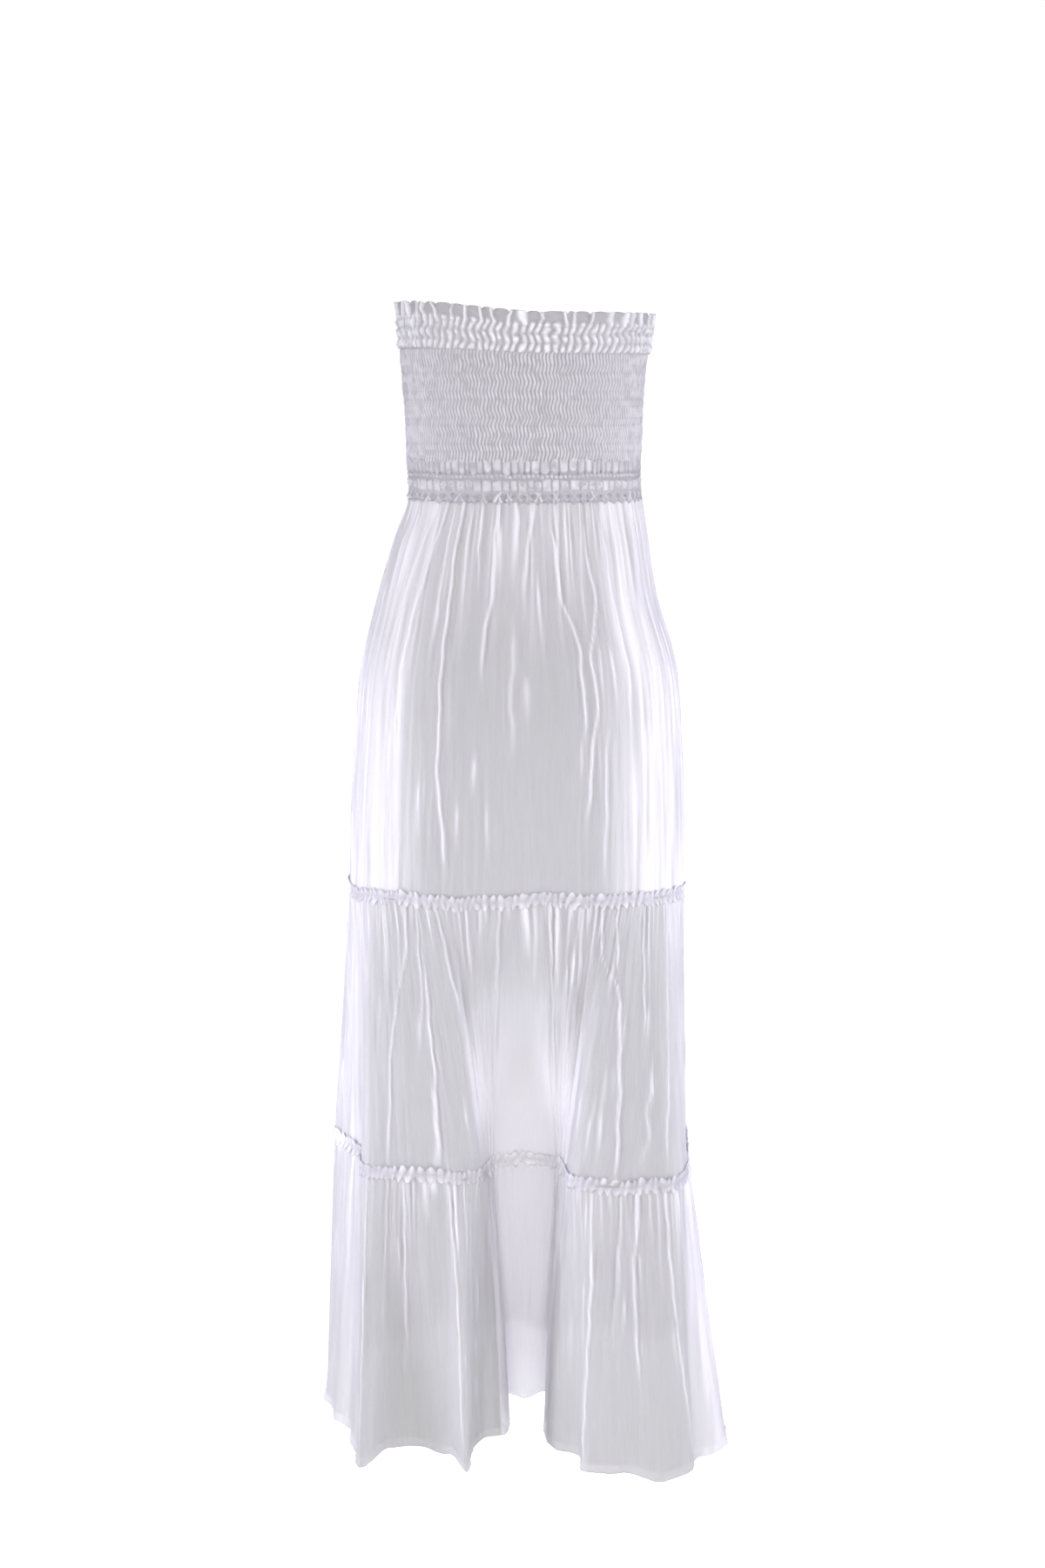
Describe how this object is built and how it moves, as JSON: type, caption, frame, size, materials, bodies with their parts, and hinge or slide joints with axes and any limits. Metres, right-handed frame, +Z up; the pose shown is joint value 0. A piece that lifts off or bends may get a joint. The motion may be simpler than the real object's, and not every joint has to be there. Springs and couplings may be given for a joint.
{
  "type": "maxi dress",
  "caption": "Strapless tiered maxi dress in sheer cotton with a smocked bodice, lace bands and ruffled tier seams, hollow as worn.",
  "frame": {"origin": "middle of the bodice, level with the top of its smocking, where the wearer's bust holds the dress up", "axes": "+Z up; the wearer faces +Y, so the back of the dress faces -Y; +X to the wearer's right hand"},
  "size_m": [0.437, 0.3819, 1.1963],
  "materials": {
    "lace": "matt crochet and gathered lace",
    "shirred_cotton": "matt cotton shirred on elastic",
    "voile": "sheer matt cotton voile"
  },
  "bodies": {
    "root": {"top_frill_back": "lace", "top_frill_front": "lace", "bodice_back": "shirred_cotton", "bodice_front": "shirred_cotton", "waist_lace_back": "lace", "waist_lace_front": "lace", "tier_1_back": "voile", "tier_1_front": "voile", "tier_2_back": "voile", "tier_2_front": "voile", "tier_3_back": "voile", "tier_3_front": "voile", "seam_frill_1_back": "lace", "seam_frill_1_front": "lace", "seam_frill_2_back": "lace", "seam_frill_2_front": "lace"}
  },
  "joints": []
}
